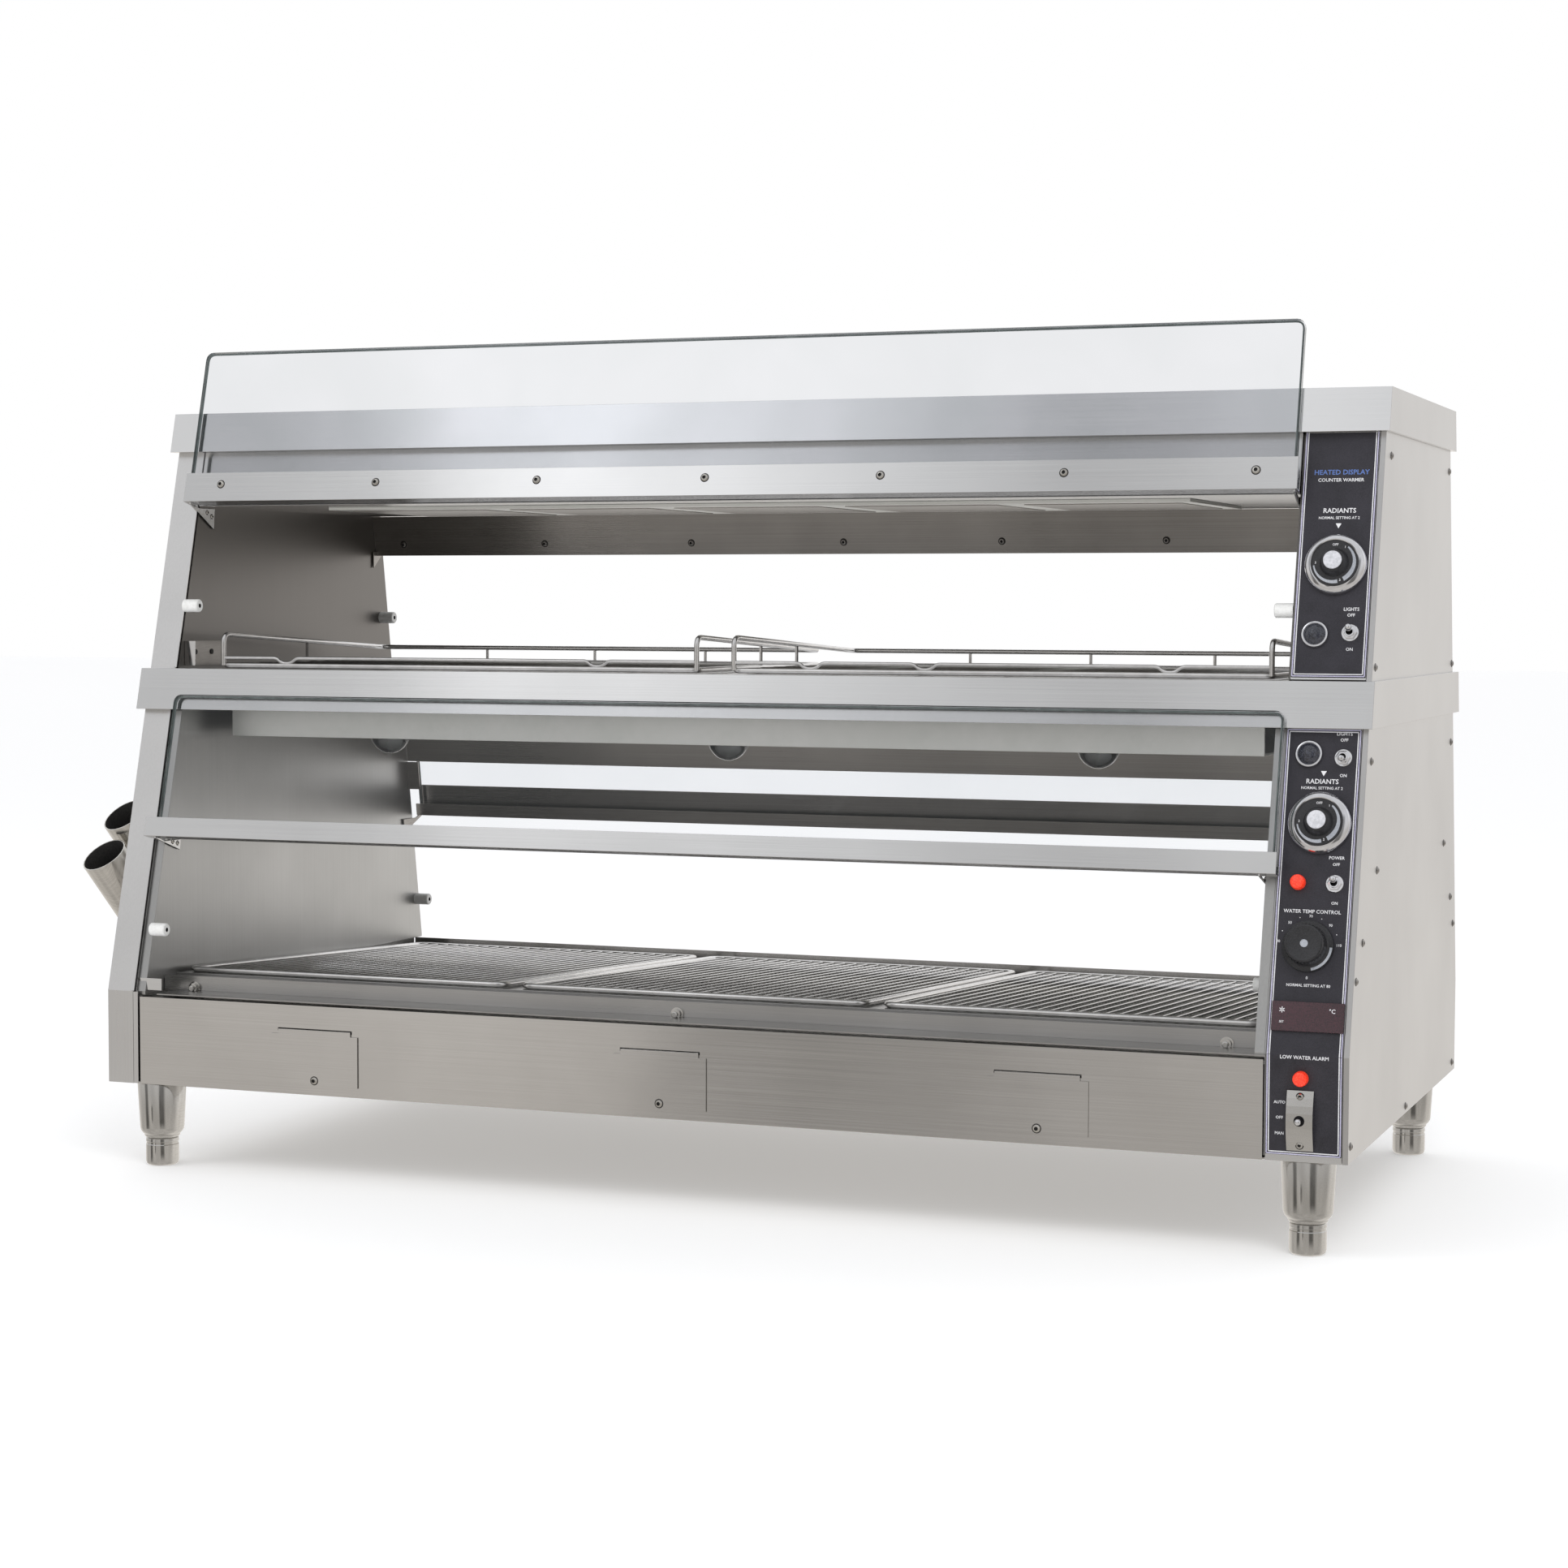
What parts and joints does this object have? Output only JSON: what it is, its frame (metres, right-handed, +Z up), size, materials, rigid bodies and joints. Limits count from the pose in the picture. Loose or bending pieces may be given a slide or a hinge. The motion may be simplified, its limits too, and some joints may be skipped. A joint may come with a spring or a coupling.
{
  "type": "heated counter display warmer",
  "caption": "Heated counter display warmer with sloped glass fronts, wire racks over a slotted lower shelf, a side control column, utensil tubes and adjustable legs.",
  "frame": {"origin": "centre of the bounding box's bottom face, on the plane the feet stand on", "axes": "+X along the width towards the control column, +Y from the sloped glass front to the rear, +Z up"},
  "size_m": [1.5408, 0.7328, 0.9598],
  "materials": {
    "brushed_stainless": "brushed, fine horizontal grain",
    "liner_stainless": "dull brushed, heat-darkened",
    "polished_stainless": "polished",
    "wire_stainless": "electropolished wire",
    "clear_glass": "clear, polished dark edges",
    "bulb_glass": "clear bulb glass",
    "black_panel": "satin black panel",
    "black_knob": "black with bright rim",
    "red_lens": "glowing red lens",
    "dark_lens": "dark domed lens with bright rim",
    "display_window": "dark red window"
  },
  "bodies": {
    "cabinet": {"left_side_panel": "brushed_stainless", "right_side_panel": "brushed_stainless", "front_apron": "brushed_stainless", "rear_apron": "brushed_stainless", "base_pan": "brushed_stainless", "mid_trim": "brushed_stainless", "mid_deck": "brushed_stainless", "top_cap": "brushed_stainless", "upper_heater_housing": "brushed_stainless", "upper_front_rail": "brushed_stainless", "upper_rear_rail": "brushed_stainless", "lower_front_rail": "brushed_stainless", "lower_rear_rail": "brushed_stainless", "control_front_upper": "brushed_stainless", "control_front_lower": "brushed_stainless", "access_cover_1": "brushed_stainless", "access_cover_2": "brushed_stainless", "access_cover_3": "brushed_stainless", "deck_frame": "brushed_stainless", "lower_ceiling_pan": "brushed_stainless", "utensil_tube_1": "brushed_stainless", "utensil_tube_2": "brushed_stainless", "toggle_guard": "brushed_stainless", "left_inner_panel": "liner_stainless", "right_inner_panel": "liner_stainless", "water_pan": "liner_stainless", "rear_header": "liner_stainless", "leg_sleeve_front_left": "polished_stainless", "leg_sleeve_front_right": "polished_stainless", "leg_sleeve_rear_left": "polished_stainless", "leg_sleeve_rear_right": "polished_stainless", "upper_front_glass": "clear_glass", "lower_front_glass": "clear_glass", "lower_rear_glass": "clear_glass", "lamp_1": "bulb_glass", "lamp_2": "bulb_glass", "lamp_3": "bulb_glass", "control_face_upper": "black_panel", "control_face_lower": "black_panel", "power_lamp": "red_lens", "alarm_lamp": "red_lens", "pilot_lamp_upper": "dark_lens", "pilot_lamp_lower": "dark_lens", "digital_display": "display_window"},
    "radiant_dial_upper": {"radiant_dial_upper": "black_knob"},
    "radiant_dial_lower": {"radiant_dial_lower": "black_knob"},
    "thermostat_knob": {"thermostat_knob": "black_knob"},
    "toggle_lever_upper": {"toggle_lever_upper": "polished_stainless"},
    "toggle_lever_lights": {"toggle_lever_lights": "polished_stainless"},
    "toggle_lever_power": {"toggle_lever_power": "polished_stainless"},
    "toggle_lever_fill": {"toggle_lever_fill": "polished_stainless"},
    "leg_foot_front_left": {"leg_foot_front_left": "polished_stainless"},
    "leg_foot_front_right": {"leg_foot_front_right": "polished_stainless"},
    "leg_foot_rear_left": {"leg_foot_rear_left": "polished_stainless"},
    "leg_foot_rear_right": {"leg_foot_rear_right": "polished_stainless"},
    "wire_grid_1": {"wire_grid_1": "wire_stainless"},
    "wire_grid_2": {"wire_grid_2": "wire_stainless"},
    "wire_grid_3": {"wire_grid_3": "wire_stainless"},
    "wire_rack_1": {"wire_rack_1": "wire_stainless"},
    "wire_rack_2": {"wire_rack_2": "wire_stainless"}
  },
  "joints": [
    {"name": "radiant_dial_upper_turn", "type": "hinge", "parent": "cabinet", "child": "radiant_dial_upper", "pos_m": [0.72107, -0.22166, 0.70145], "axis": [0, -0.9681, 0.2507], "range_deg": [0, 300]},
    {"name": "radiant_dial_lower_turn", "type": "hinge", "parent": "cabinet", "child": "radiant_dial_lower", "pos_m": [0.72107, -0.28977, 0.43845], "axis": [0, -0.9681, 0.2507], "range_deg": [0, 300]},
    {"name": "thermostat_knob_turn", "type": "hinge", "parent": "cabinet", "child": "thermostat_knob", "pos_m": [0.71707, -0.32163, 0.31545], "axis": [0, -0.9681, 0.2507], "range_deg": [0, 270]},
    {"name": "toggle_lever_upper_flip", "type": "hinge", "parent": "cabinet", "child": "toggle_lever_upper", "pos_m": [0.74007, -0.23979, 0.63145], "axis": [1, 0, 0], "range_deg": [0, 24]},
    {"name": "toggle_lever_lights_flip", "type": "hinge", "parent": "cabinet", "child": "toggle_lever_lights", "pos_m": [0.74107, -0.27268, 0.50445], "axis": [1, 0, 0], "range_deg": [-24, 0]},
    {"name": "toggle_lever_power_flip", "type": "hinge", "parent": "cabinet", "child": "toggle_lever_power", "pos_m": [0.74007, -0.30531, 0.37845], "axis": [1, 0, 0], "range_deg": [0, 24]},
    {"name": "toggle_lever_fill_flip", "type": "hinge", "parent": "cabinet", "child": "toggle_lever_fill", "pos_m": [0.71707, -0.3494, 0.143], "axis": [1, 0, 0], "range_deg": [-12, 12]},
    {"name": "leg_foot_front_left_screw", "type": "slide", "parent": "cabinet", "child": "leg_foot_front_left", "axis": [0, 0, -1], "range_m": [0, 0.02]},
    {"name": "leg_foot_front_right_screw", "type": "slide", "parent": "cabinet", "child": "leg_foot_front_right", "axis": [0, 0, -1], "range_m": [0, 0.02]},
    {"name": "leg_foot_rear_left_screw", "type": "slide", "parent": "cabinet", "child": "leg_foot_rear_left", "axis": [0, 0, -1], "range_m": [0, 0.02]},
    {"name": "leg_foot_rear_right_screw", "type": "slide", "parent": "cabinet", "child": "leg_foot_rear_right", "axis": [0, 0, -1], "range_m": [0, 0.02]},
    {"name": "wire_grid_1_out", "type": "slide", "parent": "cabinet", "child": "wire_grid_1", "axis": [0, -0.9986, 0.0523], "range_m": [0, 0.4]},
    {"name": "wire_grid_2_out", "type": "slide", "parent": "cabinet", "child": "wire_grid_2", "axis": [0, -0.9986, 0.0523], "range_m": [0, 0.4]},
    {"name": "wire_grid_3_out", "type": "slide", "parent": "cabinet", "child": "wire_grid_3", "axis": [0, -0.9986, 0.0523], "range_m": [0, 0.4]},
    {"name": "wire_rack_1_out", "type": "slide", "parent": "cabinet", "child": "wire_rack_1", "axis": [0, -1, 0], "range_m": [0, 0.3]},
    {"name": "wire_rack_2_out", "type": "slide", "parent": "cabinet", "child": "wire_rack_2", "axis": [0, -1, 0], "range_m": [0, 0.3]}
  ]
}
